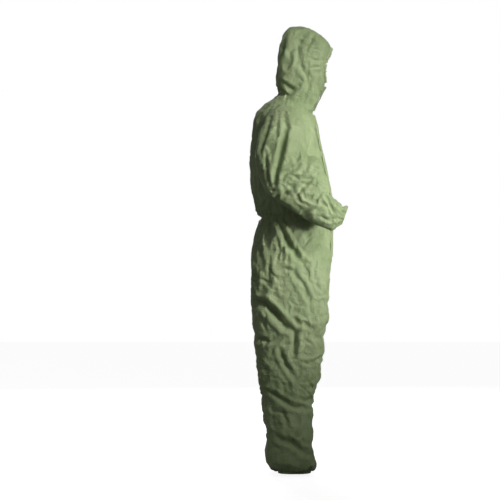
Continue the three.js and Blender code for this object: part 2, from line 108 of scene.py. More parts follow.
LEG = [
    ((-120, 930), (130, 950), 26, 176),
    ((-153, 840), (160, 866), 20, 197),
    ((-154, 750), (155, 770), 16, 198),
    ((-150, 670), (146, 690), 16, 197),
    ((-146, 600), (150, 632), 17, 194),
    ((-142, 545), (134, 570), 18, 192),
    ((-136, 470), (127, 470), 19, 188),
    ((-126, 395), (114, 395), 20, 185),
    ((-112, 320), (94, 335), 21, 182),
    ((-112, 282), (86, 285), 20, 181),
    ((-104, 225), (87, 225), 22, 180),
    ((-91, 175), (88, 175), 23, 180),
    ((-91, 128), (87, 130), 24, 180),
    ((-100, 96), (91, 92), 22, 182),
    ((-95, 68), (101, 64), 22, 182),
    ((-84, 44), (104, 42), 26, 178),
    ((-66, 27), (99, 26), 36, 170),
    ((-54, 15), (86, 15), 46, 160),
    ((-54, 2), (84, 2), 46, 160),
]
# The sleeve's rings turn from facing sideways at the armhole to facing down the arm, so each is
# given by its back, front, inner and outer points.
SLEEVE = [
    ((-92, 96, 1410), (42, 96, 1405), (-25, 96, 1335), (-25, 96, 1470)),
    ((-104, 150, 1390), (54, 150, 1388), (-25, 142, 1322), (-25, 160, 1455)),
    ((-118, 200, 1366), (60, 200, 1366), (-28, 178, 1318), (-26, 224, 1426)),
    ((-130, 236, 1334), (60, 236, 1340), (-34, 198, 1298), (-34, 280, 1388)),
    ((-138, 257, 1288), (58, 257, 1306), (-40, 200, 1262), (-40, 314, 1334)),
    ((-137, 259, 1240), (60, 259, 1276), (-40, 199, 1236), (-40, 320, 1276)),
    ((-118, 259, 1180), (66, 259, 1262), (-30, 198, 1206), (-30, 321, 1232)),
    ((-84, 259, 1126), (86, 259, 1268), (0, 198, 1197), (0, 321, 1197)),
    ((-40, 259, 1092), (106, 259, 1262), (33, 198, 1177), (33, 320, 1177)),
    ((14, 259, 1054), (122, 259, 1228), (68, 200, 1141), (68, 318, 1141)),
    ((70, 259, 1020), (138, 259, 1178), (104, 202, 1099), (104, 316, 1099)),
    ((120, 259, 996), (153, 259, 1126), (137, 208, 1061), (137, 309, 1061)),
    ((150, 258, 980), (174, 258, 1098), (163, 212, 1040), (163, 304, 1040)),
    ((178, 258, 980), (194, 258, 1080), (186, 220, 1032), (186, 296, 1032)),
    ((188, 258, 998), (203, 258, 1068), (196, 226, 1033), (196, 290, 1033)),
    ((205, 258, 1000), (228, 258, 1074), (216, 222, 1037), (216, 294, 1037)),
]
ROUND = 64  # cloth points round each ring, before the cloth is remeshed
BODY_SQUARENESS, HOOD_SQUARENESS = 2.3, 3.0  # 2 is an ellipse
HOOD_FROM = 1580  # height of the first ring that is squared as the hood is


def ring(mesh, back, front, inner, outer, power=BODY_SQUARENESS):
    """One closed loop of edges: a circle squared off a little and stretched over four points."""
    made = bmesh.ops.create_circle(mesh, cap_ends=False, segments=ROUND, radius=1.0)["verts"]
    for v in made:
        for k in (0, 1):
            v.co[k] = math.copysign(abs(v.co[k]) ** (2 / power), v.co[k])
    middle = (back + front) / 2
    along, across = (front - back) / 2, (outer - inner) / 2
    place = Matrix((along, across, along.cross(across).normalized())).transposed().to_4x4()
    bmesh.ops.transform(mesh, matrix=Matrix.Translation(middle) @ place, verts=made)
    return list({e for v in made for e in v.link_edges})


def tube(mesh, rings):
    """Cloth bridged from ring to ring and closed at both ends."""
    loops = [ring(mesh, *corners) for corners in rings]
    for upper, lower in zip(loops, loops[1:]):
        bmesh.ops.bridge_loops(mesh, edges=upper + lower)
    for end in (loops[0], loops[-1]):
        bmesh.ops.contextual_create(mesh, geom=end)


def flat_ring(back, front, inner, outer):
    (bx, bz), (fx, fz) = back, front
    middle = ((bx + fx) / 2, (bz + fz) / 2)
    return (at(bx, (inner + outer) / 2, bz), at(fx, (inner + outer) / 2, fz),
            at(middle[0], inner, middle[1]), at(middle[0], outer, middle[1]))


def new_object(name, mesh):
    data = bpy.data.meshes.new(name)
    mesh.to_mesh(data)
    mesh.free()
    made = bpy.data.objects.new(name, data)
    bpy.context.scene.collection.objects.link(made)
    return made


def apply_modifiers(piece):
    graph = bpy.context.evaluated_depsgraph_get()
    data = bpy.data.meshes.new_from_object(piece.evaluated_get(graph), depsgraph=graph)
    old = piece.data
    piece.modifiers.clear()
    piece.data = data
    data.name = old.name
    bpy.data.meshes.remove(old)


def suit_form(voxel):
    """Trunk, legs and sleeves as one closed skin with even faces."""
    mesh = bmesh.new()
    tube(mesh, [(*flat_ring(back, front, -half, half), HOOD_SQUARENESS if front[1] > HOOD_FROM else BODY_SQUARENESS)
                for back, front, half in TRUNK])
    for _, side in SIDES:
        tube(mesh, [flat_ring(back, front, inner * side, outer * side) for back, front, inner, outer in LEG])
        tube(mesh, [[at(x, y * side, z) for x, y, z in corners] for corners in SLEEVE])
    bmesh.ops.recalc_face_normals(mesh, faces=mesh.faces)
    form = new_object("suit_form", mesh)
    remesh = form.modifiers.new("even", "REMESH")
    remesh.mode = "VOXEL"
    remesh.voxel_size = voxel / 1000
    smooth = form.modifiers.new("ease", "SMOOTH")
    smooth.iterations = 4
    apply_modifiers(form)
    return form


# ---- folds
# Each fold is a valley pressed into the side of the suit, with a soft ridge along each bank: where
# it lies, its depth and width in millimetres, and the line it follows in the side view.
ARM, TRUNK_SIDE, THIGH_AND_SHIN, HOOD_SIDE = "arm", "trunk", "leg", "hood"
FOLDS = [
    (ARM, 15, 16, ((-28, 1425), (-20, 1380), (-30, 1320), (-45, 1255), (-70, 1150))),
    (ARM, 8, 14, ((-75, 1430), (-100, 1360), (-115, 1320), (-126, 1285))),
    (ARM, 7, 9, ((-100, 1285), (-98, 1230), (-84, 1160))),
    (ARM, 6, 8, ((53, 1375), (51, 1290))),
    (ARM, 13, 11, ((-45, 1190), (0, 1215), (32, 1232))),
    (ARM, 10, 10, ((48, 1268), (75, 1290), (100, 1318))),
    (ARM, 5, 8, ((-38, 1152), (0, 1175), (40, 1196))),
    (ARM, 5, 7, ((-30, 1128), (10, 1158), (42, 1172))),
    (ARM, 6, 9, ((30, 1160), (50, 1112), (90, 1100), (122, 1140))),
    (ARM, 6, 8, ((15, 1132), (30, 1098), (66, 1084))),
    (ARM, 9, 10, ((35, 1052), (75, 1066), (108, 1066))),
    (ARM, 7, 7, ((113, 1098), (135, 1070), (145, 1038))),
    (ARM, 7, 7, ((130, 1122), (142, 1095), (160, 1042))),
    (ARM, 7, 7, ((100, 1042), (135, 1022), (165, 1010))),
    (TRUNK_SIDE, 14, 16, ((-62, 1030), (-30, 975), (-8, 925), (38, 862))),
    (TRUNK_SIDE, 8, 14, ((-132, 1000), (-128, 930), (-108, 850))),
    (THIGH_AND_SHIN, 7, 14, ((0, 822), (50, 765), (82, 692))),
    (THIGH_AND_SHIN, 20, 22, ((-150, 696), (-100, 690), (-60, 648), (-20, 606), (15, 585))),
    (THIGH_AND_SHIN, 13, 16, ((12, 590), (14, 540), (10, 485))),
    (THIGH_AND_SHIN, 9, 14, ((-12, 642), (35, 618), (78, 604))),
    (THIGH_AND_SHIN, 10, 11, ((38, 468), (80, 458), (135, 486))),
    (THIGH_AND_SHIN, 10, 14, ((-138, 556), (-95, 545), (-55, 550))),
    (THIGH_AND_SHIN, 11, 14, ((-45, 512), (-20, 455), (12, 405))),
    (THIGH_AND_SHIN, 12, 14, ((-92, 352), (-40, 320), (10, 290), (76, 276))),
    (THIGH_AND_SHIN, 8, 11, ((-82, 272), (-30, 264), (-14, 208))),
    (THIGH_AND_SHIN, 13, 16, ((-76, 176), (0, 146), (62, 104))),
    (HOOD_SIDE, 9, 12, ((-48, 1585), (-20, 1560), (14, 1538))),
    (HOOD_SIDE, 5, 16, ((32, 1722), (34, 1680), (36, 1636), (74, 1582), (66, 1546))),
    (HOOD_SIDE, 5, 7, ((72, 1702), (125, 1690))),
    (HOOD_SIDE, 6, 7, ((62, 1660), (125, 1650))),
    (HOOD_SIDE, 5, 7, ((70, 1618), (125, 1630))),
]


def places(data):
    """Every point of a mesh in millimetres: forward, to the left, and above the hems."""
    flat = np.empty(len(data.vertices) * 3)
    data.vertices.foreach_get("co", flat)
    return flat.reshape(-1, 3) * 1000 + (0, 0, CARRY_HEIGHT)


def directions(data):
    flat = np.empty(len(data.vertices) * 3)
    data.vertex_normals.foreach_get("vector", flat)
    return flat.reshape(-1, 3)


def in_frame(place):
    """Points given in millimetres as one flat row of the frame's metres."""
    return ((place - (0, 0, CARRY_HEIGHT)) / 1000).ravel()


def put_places(data, place):
    data.vertices.foreach_set("co", in_frame(place))
    data.update()


def along_line(place, line):
    """How far each point is from a line in a flat view, and how far along the line it lies, 0 to 1."""
    corners = np.array(line, float)
    lengths = np.linalg.norm(np.diff(corners, axis=0), axis=1)
    best = np.full(len(place), 1e9)
    share = np.zeros(len(place))
    walked = 0.0
    for start, end, length in zip(corners, corners[1:], lengths):
        t = np.clip(((place - start) @ (end - start)) / length**2, 0, 1)
        away = np.linalg.norm(place - start - t[:, None] * (end - start), axis=1)
        closer = away < best
        best = np.where(closer, away, best)
        share = np.where(closer, (walked + t * length) / lengths.sum(), share)
        walked += length
    return best, share


# The planes that part the suit's pieces, each a point and the direction that it faces.
NECK_SEAM = (at(-54, 0, 1519), Vector((70, 0, 144)).normalized())
CROTCH = (at(163, 0, 862), Vector((90, 0, -316)).normalized())
KNEE = (at(-140, 0, 598), Vector((60, 0, -268)).normalized())
ELBOW = (at(-84, 0, 1152), Vector((100, 0, -144)).normalized())
ARMPIT = 1300  # height
ARMHOLE_SIDE = 187  # how far to the side the armhole stands
HIP, HIP_SIDE = 1130, 194  # below this height a sleeve starts further out, to clear the hip
WAIST = 1036
WRIST = (190, 1032)  # the wrist elastic in the side view
ARM_FALL = math.radians(20)  # how far the forearm points below level
FACE_HEIGHT = 1640
FACE_HALF = (50, 62)  # sideways and upwards
CLOTH_WALL = 0.8


def armhole(side):
    return at(0, ARMHOLE_SIDE * side, ARMPIT + 4), Vector((0, 0.949 * side, 0.316))


def beyond(place, plane):
    """How many millimetres each point lies past a plane."""
    point, facing = plane
    return (place - np.array(in_millimetres(point))) @ np.array(facing)


def outside_body(y, h):
    return np.abs(y) > np.where(h < HIP, HIP_SIDE, ARMHOLE_SIDE)


def part_of_suit(place):
    """Masks for points on a sleeve, a leg, the hood and the trunk."""
    y, h = place[:, 1], place[:, 2]
    past = np.maximum(beyond(place, armhole(LEFT)), beyond(place, armhole(RIGHT)))
    sleeve = outside_body(y, h) & (h > 950) & (h < ARMPIT)
    sleeve |= (h >= ARMPIT) & (h < 1500) & (np.abs(y) > 118) & (past > 0)
    hood = ~sleeve & (h > 1400) & (beyond(place, NECK_SEAM) > 0)
    legs = ~sleeve & (h < 900) & (beyond(place, CROTCH) > 0)
    return {ARM: sleeve, HOOD_SIDE: hood, THIGH_AND_SHIN: legs, TRUNK_SIDE: ~(sleeve | hood | legs)}


def share_of_part(place):
    """How much a fold on each part shows at each point: it fades out towards the armhole."""
    past = np.maximum(beyond(place, armhole(LEFT)), beyond(place, armhole(RIGHT)))
    y, h = place[:, 1], place[:, 2]
    past = np.where((h < 1500) & (np.abs(y) > 100), past, -99)
    lower_arm = (h > 950) & outside_body(y, h)
    fade = 16
    sleeve = np.where(h < ARMPIT, lower_arm, np.clip(past / fade, 0, 1))
    rest = np.where(h < ARMPIT, ~lower_arm, np.clip(-past / fade, 0, 1))
    return {ARM: sleeve, HOOD_SIDE: rest, THIGH_AND_SHIN: rest, TRUNK_SIDE: rest}


def press_folds(form):
    data = form.data
    place, facing = places(data), directions(data)
    parts = share_of_part(place)
    push = np.zeros(len(place))
    for where, depth, width, line in FOLDS:
        for side in (RIGHT, LEFT):
            # The left side is creased a little differently, as no two limbs crease alike.
            drawn = line if side == RIGHT else [(x - 6, h + 14) for x, h in line]
            away, share = along_line(place[:, (0, 2)], drawn)
            turned = np.clip(facing[:, 1] * side, 0, 1) ** 0.6
            ends = np.clip(np.sin(np.pi * np.clip(share, 0.03, 0.97)) * 1.8, 0, 1)
            valley = np.exp(-((away / (width * 0.62)) ** 2))
            bank = 0.42 * np.exp(-(((away - width * 1.35) / (width * 0.6)) ** 2))
            valley = valley - bank
            push += depth * valley * turned * ends * parts[where] * (place[:, 1] * side > 0)
    put_places(data, place - facing * push[:, None])


# ---- cloth
def down_forearm(place):
    """How far past the wrist's elastic each point lies, and whether it is on a forearm."""
    x, y, h = place.T
    down_arm = (x - WRIST[0]) * math.cos(ARM_FALL) - (h - WRIST[1]) * math.sin(ARM_FALL)
    forearm = (np.abs(y) > 188) & (x > 90) & (h > 950) & (h < 1260)
    return down_arm, forearm


def band(value, middle, half):
    return np.clip(1 - (np.abs(value - middle) / half) ** 2, 0, 1)


def drape(form, looseness, frames):
    """Lets the loose cloth buckle under its own weight while the elastics draw in."""
    data = form.data
    place, facing = places(data), directions(data)
    x, y, h = place.T
    down_arm, forearm = down_forearm(place)
    face = np.hypot(y / 62, (h - FACE_HEIGHT) / 72)
    at_face = (x > 60) & (h > 1520)
    behind = np.clip((70 - x) / 60, 0, 1)
    elastic = np.max([
        np.where(forearm, band(down_arm, 2, 12), 0),
        np.where(h < 60, band(h, 17, 11), 0),
        np.where((np.abs(y) < 188) & (x < 70), band(h, WAIST, 12) * behind, 0),
        np.where(at_face, 0.4 * band(face, 1.05, 0.2), 0),
    ], axis=0)
    # Where the cloth is held: a little everywhere, and more under the zip, on the shoulders,
    # round the face, at the hems and past the cuffs.
    hold = np.max([
        np.full(len(place), 0.18),
        np.clip((30 - np.abs(y)) / 12, 0, 1) * (x > 60) * (h < 1560) * (h > 840) * 0.98,
        np.where((facing[:, 2] > 0.55) & (h > 1380), 0.6, 0),
        np.where(at_face & (face < 1.1), 1.0, 0),
        np.where(at_face & (face < 1.7), 0.7, 0),
        np.where(h < 8, 0.8, 0),
        np.where(forearm & (down_arm > 20), 0.5, 0),
    ], axis=0)
    weight_steps = 40
    for name, weights in (("hold", hold), ("elastic", elastic)):
        group = form.vertex_groups.new(name=name)
        steps = np.round(weights * weight_steps).astype(int)
        for step in np.unique(steps):
            if step > 0:
                group.add(np.nonzero(steps == step)[0].tolist(), float(step / weight_steps), "REPLACE")
    cloth = form.modifiers.new("cloth", "CLOTH")
    settings = cloth.settings
    settings.quality = 5
    settings.mass = 0.05
    settings.air_damping = 2.0
    settings.tension_stiffness = settings.compression_stiffness = 12
    settings.shear_stiffness = 6
    settings.bending_stiffness = 1.2
    settings.vertex_group_mass = "hold"
    settings.pin_stiffness = 0.35
    settings.vertex_group_shrink = "elastic"
    settings.shrink_min = -looseness
    settings.shrink_max = 0.2
    cloth.collision_settings.use_collision = False
    cloth.collision_settings.use_self_collision = False
    scene = bpy.context.scene
    cloth.point_cache.frame_start, cloth.point_cache.frame_end = 1, frames
    for number in range(1, frames + 1):
        scene.frame_set(number)
    apply_modifiers(form)
    scene.frame_set(1)
    moved = places(form.data) - place
    far = np.linalg.norm(moved, axis=1)
    furthest = 22.0  # millimetres that the cloth may settle away from the form
    capped = place + moved * np.minimum(1, furthest / np.maximum(far, 1e-6))[:, None]
    put_places(form.data, capped)


# ---- creases
# Where small creases gather on each part: how many, and their lean from the horizontal and its
# spread in degrees, between two heights.
CREASES = [
    (ARM, 40, 82, 22, 1250, 1420),
    (ARM, 56, 28, 45, 1010, 1260),
    (TRUNK_SIDE, 44, 74, 30, 1060, 1420),
    (TRUNK_SIDE, 34, 70, 24, 850, 1030),
    (THIGH_AND_SHIN, 48, -62, 28, 600, 850),
    (THIGH_AND_SHIN, 84, -24, 36, 90, 620),
    (HOOD_SIDE, 34, 78, 24, 1530, 1760),
]


def crease_lines():
    """Short bent lines, drawn from a fixed seed: part, which way they face, depth, width, line."""
    draw = np.random.default_rng(11)
    lines = []
    for where, count, lean, spread, low, high in CREASES:
        for facing in (0, 1, 1):
            for _ in range(count if facing == 1 else count // 2):
                angle = math.radians(draw.normal(lean, spread))
                length = draw.uniform(35, 120)
                middle = np.array((draw.uniform(-150, 165), draw.uniform(low, high)))
                along = np.array((math.cos(angle), math.sin(angle))) * length / 2
                bend = np.array((-along[1], along[0])) * draw.uniform(-0.25, 0.25)
                side = draw.choice((LEFT, RIGHT))
                seen = (0, 2) if facing else (1, 2)
                lines.append((where, side, seen, draw.uniform(1.6, 4.8), draw.uniform(3.5, 9),
                              (middle - along, middle + bend, middle + along)))
    return lines


def gathers(place):
    """Outward puckers at the wrists, ankles, waist, face and neck."""
    x, y, h = place.T
    push = np.zeros(len(place))
    down_arm, forearm = down_forearm(place)
    side = np.sign(y)
    up = (x - WRIST[0]) * math.sin(ARM_FALL) + (h - WRIST[1]) * math.cos(ARM_FALL)
    waver = np.array([noise.noise(Vector(p) / 38) for p in place])

    def puckers(turn, count, away, reach, height, mask):
        wave = np.abs(np.sin(turn * count / 2 + waver * 2.2)) ** 0.8 - 0.6
        return np.where(mask, height * wave * np.exp(-np.abs(away) / reach), 0)

    push += puckers(np.arctan2(up, y - 258 * side), 12, down_arm - 4, 26, 6.5, forearm)
    push += puckers(np.arctan2(x - 8, y - 104 * side), 20, h - 19, 24, 6.5, h < 260)
    body = (np.abs(y) < 188) & (h > 900) & (h < 1180)
    push += puckers(np.arctan2(y, x - 20), 34, h - WAIST, 34, 4.5 * np.clip((110 - x) / 90, 0, 1), body)
    face = np.hypot(y / FACE_HALF[0], (h - FACE_HEIGHT) / FACE_HALF[1])
    push += puckers(np.arctan2(h - FACE_HEIGHT, y), 30, (face - 1) * 60, 34, 4.2, (x > 20) & (h > 1540))
    neck = beyond(place, NECK_SEAM)
    collar = (h > 1380) & (h < 1600) & (np.abs(y) < 130)
    push += puckers(np.arctan2(y, x - 10), 30, neck, 26, 3.4, collar)
    return push


def crinkle(form):
    """Divides the cloth's faces once and gives it the sharp small creases of a paper-like sheet."""
    finer = form.modifiers.new("finer", "SUBSURF")
    finer.levels = finer.render_levels = 1
    apply_modifiers(form)
    place, facing = places(form.data), directions(form.data)
    parts = share_of_part(place)
    push = np.zeros(len(place))
    side_view, front_view = (0, 2), (1, 2)
    sharp = [(where, LEFT if n else RIGHT, side_view, 0.3 * depth, width * 0.45,
              [(x - 6 * n, h + 14 * n) for x, h in line])
             for where, depth, width, line in FOLDS for n in (0, 1)]
    for where, side, seen, depth, width, line in sharp + crease_lines():
        turned = facing[:, 1 - seen[0]] * side
        corners = np.array(line)
        low, high = corners.min(axis=0) - 4 * width, corners.max(axis=0) + 4 * width
        flat = place[:, seen]
        near = (turned > 0) & (flat > low).all(axis=1) & (flat < high).all(axis=1)
        if seen == side_view:
            near &= place[:, 1] * side > 0
        near = np.nonzero(near)[0]
        away, share = along_line(place[near][:, seen], line)
        ridge = np.exp(-away / width) - 0.45 * np.exp(-(((away - width * 1.9) / width) ** 2))
        push[near] -= depth * ridge * turned[near] ** 0.7 * np.sin(np.pi * share) * parts[where][near]
    fine = np.array([
        noise.ridged_multi_fractal(Vector((p[0] / 46, p[1] / 46, p[2] / 74)), 0.9, 2.1, 3, 1.0, 2.0) for p in place
    ])
    push += (fine - fine.mean()) * 3.8
    # The strip under the zip lies flat on the chest.
    smooth = np.clip((np.abs(place[:, 1]) - 24) / 14, 0.12, 1)
    under_flap = np.clip((place[:, 0] - 60) / 20, 0, 1) * np.clip((1580 - place[:, 2]) / 40, 0, 1)
    under_flap *= np.clip((place[:, 2] - 820) / 40, 0, 1)
    calm = 1 + (smooth - 1) * under_flap
    put_places(form.data, place + facing * ((push * calm) + gathers(place) * calm)[:, None])


def cut(mesh, plane, wanted, **clear):
    """Runs a new line of edges through the faces that are wanted, where the plane crosses them."""
    faces = [f for f in mesh.faces if wanted(in_millimetres(f.calc_center_median()))]
    near = {v for f in faces for v in f.verts} | {e for f in faces for e in f.edges}
    bmesh.ops.bisect_plane(mesh, geom=faces + list(near), dist=1e-6, plane_co=plane[0], plane_no=plane[1], **clear)


def open_ends(form):
    """Cuts the cloth away over the face and at the ends of the sleeves and legs."""
    mesh = bmesh.new()
    mesh.from_mesh(form.data)
    mesh.normal_update()
    gone = []
    for f in mesh.faces:
        spot = in_millimetres(f.calc_center_median())
        if spot.x > 60 and math.hypot(spot.y / FACE_HALF[0], (spot.z - FACE_HEIGHT) / FACE_HALF[1]) < 1:
            gone.append(f)
    bmesh.ops.delete(mesh, geom=gone, context="FACES")
    for v in mesh.verts:
        if v.is_boundary and v.co.x > 0.06 and v.co.z > 0.08:
            y, h = v.co.y * 1000, v.co.z * 1000 + CARRY_HEIGHT - FACE_HEIGHT
            out = math.hypot(y / FACE_HALF[0], h / FACE_HALF[1])
            v.co.y, v.co.z = y / out / 1000, (h / out + FACE_HEIGHT - CARRY_HEIGHT) / 1000
    down_arm = Vector((math.cos(ARM_FALL), 0, -math.sin(ARM_FALL)))
    for point, facing, wanted in (
        (at(213, 0, 1036), down_arm, lambda p: p.x > 150 and abs(p.y) > 188 and p.z < 1140),
        (at(0, 0, 7), Vector((0, 0, -1)), lambda p: p.z < 60),
    ):
        cut(mesh, (point, facing), wanted, clear_outer=True)
    edge = [v for v in mesh.verts if v.is_boundary]
    bmesh.ops.smooth_vert(mesh, verts=edge, factor=0.4, use_axis_x=True, use_axis_y=True, use_axis_z=True)
    mesh.to_mesh(form.data)
    mesh.free()


def shade_smooth(piece):
    for polygon in piece.data.polygons:
        polygon.use_smooth = True


def add_wall(piece, millimetres):
    """Gives a sheet its thickness, inwards."""
    wall = piece.modifiers.new("wall", "SOLIDIFY")
    wall.thickness = millimetres / 1000
    wall.offset = -1
    apply_modifiers(piece)
    shade_smooth(piece)


def record_rest(form):
    """Keeps each point's place and direction, so that parted pieces still meet as one cloth."""
    keep_place(form)
    facing = form.data.attributes.new("facing", "FLOAT_VECTOR", "POINT")
    facing.data.foreach_set("vector", directions(form.data).ravel())


def thicken(piece):
    """Gives a piece of cloth its wall, inwards, and shades it by the directions that were kept."""
    outer = len(piece.data.vertices)
    add_wall(piece, CLOTH_WALL)
    flat = np.empty(len(piece.data.vertices) * 3)
    piece.data.attributes["facing"].data.foreach_get("vector", flat)
    normals = flat.reshape(-1, 3)
    normals[outer:] *= -1
    piece.data.normals_split_custom_set_from_vertices(normals.tolist())


def split_suit(form):
    """Parts the cloth at the neck, armholes, elbows, crotch and knees. Returns the pieces by name."""
    mesh = bmesh.new()
    mesh.from_mesh(form.data)
    cut(mesh, NECK_SEAM, lambda p: p.z > 1400 and abs(p.y) < 130)
    cut(mesh, (Vector((0, 0, 0)), Vector((0, 1, 0))), lambda p: 700 < p.z < 900 and abs(p.y) < 60)
    cut(mesh, CROTCH, lambda p: p.z < 900)
    cut(mesh, KNEE, lambda p: p.z < 900)
    for _, side in SIDES:
        cut(mesh, armhole(side), lambda p: ARMPIT - 20 < p.z < 1500 and p.y * side > 100)
        cut(mesh, ELBOW, lambda p: p.y * side > HIP_SIDE and 950 < p.z < ARMPIT + 20)
    mesh.faces.ensure_lookup_table()
    middles = np.array([f.calc_center_median() for f in mesh.faces]) * 1000 + (0, 0, CARRY_HEIGHT)
    parts = part_of_suit(middles)
    names = np.full(len(middles), "body_cloth", dtype=object)
    names[parts[HOOD_SIDE]] = "hood_cloth"
    past_elbow, past_knee = beyond(middles, ELBOW) > 0, beyond(middles, KNEE) > 0
    for word, side in SIDES:
        here = middles[:, 1] * side > 0
        names[parts[ARM] & here] = "upper_sleeve_cloth_" + word
        names[parts[ARM] & here & past_elbow] = "forearm_cloth_" + word
        names[parts[THIGH_AND_SHIN] & here] = "thigh_cloth_" + word
        names[parts[THIGH_AND_SHIN] & here & past_knee] = "shin_cloth_" + word
    whole = form.data
    mesh.to_mesh(whole)
    mesh.free()
    pieces = {}
    for name in sorted(set(names)):
        keep = bmesh.new()
        keep.from_mesh(whole)
        keep.faces.ensure_lookup_table()
        bmesh.ops.delete(keep, geom=[keep.faces[i] for i in np.nonzero(names != name)[0]], context="FACES")
        piece = new_object(name, keep)
        thicken(piece)
        pieces[name] = piece
    bpy.data.objects.remove(form)
    return pieces


# ---- trims
built = {}  # the draped cloth's surface, which the trims are laid on


def on_cloth(y, height):
    """The place on the suit's front at that distance to the left and height, in millimetres."""
    return built["skin"].ray_cast(at(500, y, height), Vector((-1, 0, 0)))[0]


def front_line(y, low, high, steps):
    """The front's profile at one y, eased so that a strip laid on it doesn't follow each crease."""
    heights = np.linspace(low, high, steps)
    xs = np.array([on_cloth(y, h).x * 1000 for h in heights])
    reach = 7
    padded = np.pad(xs, reach, mode="reflect", reflect_type="odd")
    return heights, np.convolve(padded, np.ones(2 * reach + 1) / (2 * reach + 1), mode="valid")


def strip(name, across, heights, lift, counts, thick, round_off=0.0):
    """A flat strip of cloth laid on the front, lift millimetres off it, as a closed sheet."""
    mesh = bmesh.new()
    bmesh.ops.create_grid(mesh, x_segments=counts[0], y_segments=counts[1], size=1)
    columns = sorted({round(v.co.x, 4) for v in mesh.verts})
    lines = {}
    for u in columns:
        y = across[0] + (across[1] - across[0]) * (u + 1) / 2
        lines[u] = front_line(y, heights[0], heights[1], 90)
    for v in mesh.verts:
        u, along = round(v.co.x, 4), (v.co.y + 1) / 2
        share = (u + 1) / 2
        narrow = 1 - round_off * max(0.0, along - 0.75) * 4 * abs(u) ** 3
        y = across[0] + (across[1] - across[0]) * share
        y = (across[0] + across[1]) / 2 + (y - (across[0] + across[1]) / 2) * narrow
        h = heights[0] + (heights[1] - heights[0]) * along
        hs, xs = lines[u]
        x = float(np.interp(h, hs, xs))
        slope = (float(np.interp(h + 12, hs, xs)) - float(np.interp(h - 12, hs, xs))) / 24
        out = Vector((1, 0, -slope)).normalized()
        v.co = at(x, y, h) + out * (lift(share, along, y, h) / 1000)
    bmesh.ops.recalc_face_normals(mesh, faces=mesh.faces)
    if sum(f.normal.x for f in mesh.faces) < 0:
        bmesh.ops.reverse_faces(mesh, faces=mesh.faces)
    piece = new_object(name, mesh)
    add_wall(piece, thick)
    return piece


FLAP = (-26, 26)  # the storm flap's free edge and its hinged edge, across the chest
CHIN_FLAP, CHIN_HEIGHTS = (-46, 46), (1458, 1553)
TEETH, TOOTH_PITCH = (886, 1431), 2.6


def share_between(value, ends):
    return (value - ends[0]) / (ends[1] - ends[0])


def flap_lift(share, along, y, h):
    """The storm flap rises over the slider between its two edges."""
    arch = math.sin(math.pi * min(1, max(0, share))) ** 0.55
    ripple = noise.noise(Vector((y / 22, h / 34, 3.1))) * 1.5
    ripple += noise.noise(Vector((y / 60, h / 80, 7.7))) * 1.6
    return 2.4 + 8.6 * arch + ripple * (0.35 + 0.65 * arch)


def chin_lift(share, along, y, h):
    """The chin flap stands away from the throat towards its top."""
    ripple = noise.noise(Vector((y / 24, h / 30, 5.3))) * 1.8
    return 5.5 + 6.0 * along**3 + ripple - 2.0 * (1 - math.sin(math.pi * share))


def face_binding():
    """The elastic's casing round the face: a soft tube drawn into puckers."""
    mesh = bmesh.new()
    loops = []
    steps = 168
    for n in range(steps):
        turn = 2 * math.pi * n / steps
        y, h = FACE_HALF[0] * 1.06 * math.cos(turn), FACE_HEIGHT + FACE_HALF[1] * 1.06 * math.sin(turn)
        xs = [on_cloth(y * k, FACE_HEIGHT + (h - FACE_HEIGHT) * k).x for k in (0.98, 1.04, 1.1)]
        waver = noise.noise(Vector((math.cos(turn) * 2, math.sin(turn) * 2, 0)))
        pucker = abs(math.sin(turn * 16 + 1.3 * waver))
        centre = Vector((sum(xs) / 3 + -0.003 + 0.0035 * pucker, y / 1000, (h - CARRY_HEIGHT) / 1000))
        size = 0.0052 + 0.0021 * pucker
        made = bmesh.ops.create_circle(mesh, cap_ends=False, segments=12, radius=size)["verts"]
        outward = Vector((0, math.cos(turn), math.sin(turn)))
        ahead = Vector((0, -math.sin(turn), math.cos(turn)))
        side_on = Vector((1, 0, 0))
        turned = Matrix((side_on * 1.25, outward, ahead)).transposed().to_4x4()
        bmesh.ops.transform(mesh, matrix=Matrix.Translation(centre) @ turned, verts=made)
        loops.append(list({e for v in made for e in v.link_edges}))
    for first, second in zip(loops, loops[1:] + loops[:1]):
        bmesh.ops.bridge_loops(mesh, edges=first + second)
    bmesh.ops.recalc_face_normals(mesh, faces=mesh.faces)
    piece = new_object("face_binding", mesh)
    shade_smooth(piece)
    return piece


def teeth(name, side, line):
    """Coil teeth: small bevelled blocks, one above another along the tape's edge. A real coil's
    are closer together."""
    mesh = bmesh.new()
    hs, xs = line
    block = bmesh.ops.create_cube(mesh, size=1.0)
    bmesh.ops.scale(mesh, vec=(0.0024, 0.0026, 0.0018), verts=block["verts"])
    bmesh.ops.bevel(mesh, geom=mesh.edges[:], offset=0.0004, affect="EDGES", segments=1, profile=0.5, material=-1)
    pattern = new_object("tooth", mesh)
    mesh = bmesh.new()
    for h in np.arange(*TEETH, TOOTH_PITCH):
        before = len(mesh.verts)
        mesh.from_mesh(pattern.data)
        mesh.verts.ensure_lookup_table()
        spot = at(float(np.interp(h, hs, xs)) + 1.2, 2.6 * side, h)
        bmesh.ops.translate(mesh, vec=spot, verts=mesh.verts[before:])
    bpy.data.objects.remove(pattern)
    return new_object(name, mesh)


# ---- finishes
def add_node(tree, kind, settings=None, **links):
    """Adds a node, with its settings and what feeds each of its sockets."""
    made = tree.nodes.new(kind)
    for name, value in (settings or {}).items():
        if isinstance(name, str) and hasattr(made, name):
            setattr(made, name, value)
        else:
            made.inputs[name].default_value = value
    for name, source in links.items():
        socket = made.inputs[int(name[1:])] if name[0] == "_" else made.inputs[name.replace("_", " ")]
        tree.links.new(source, socket)
    return made


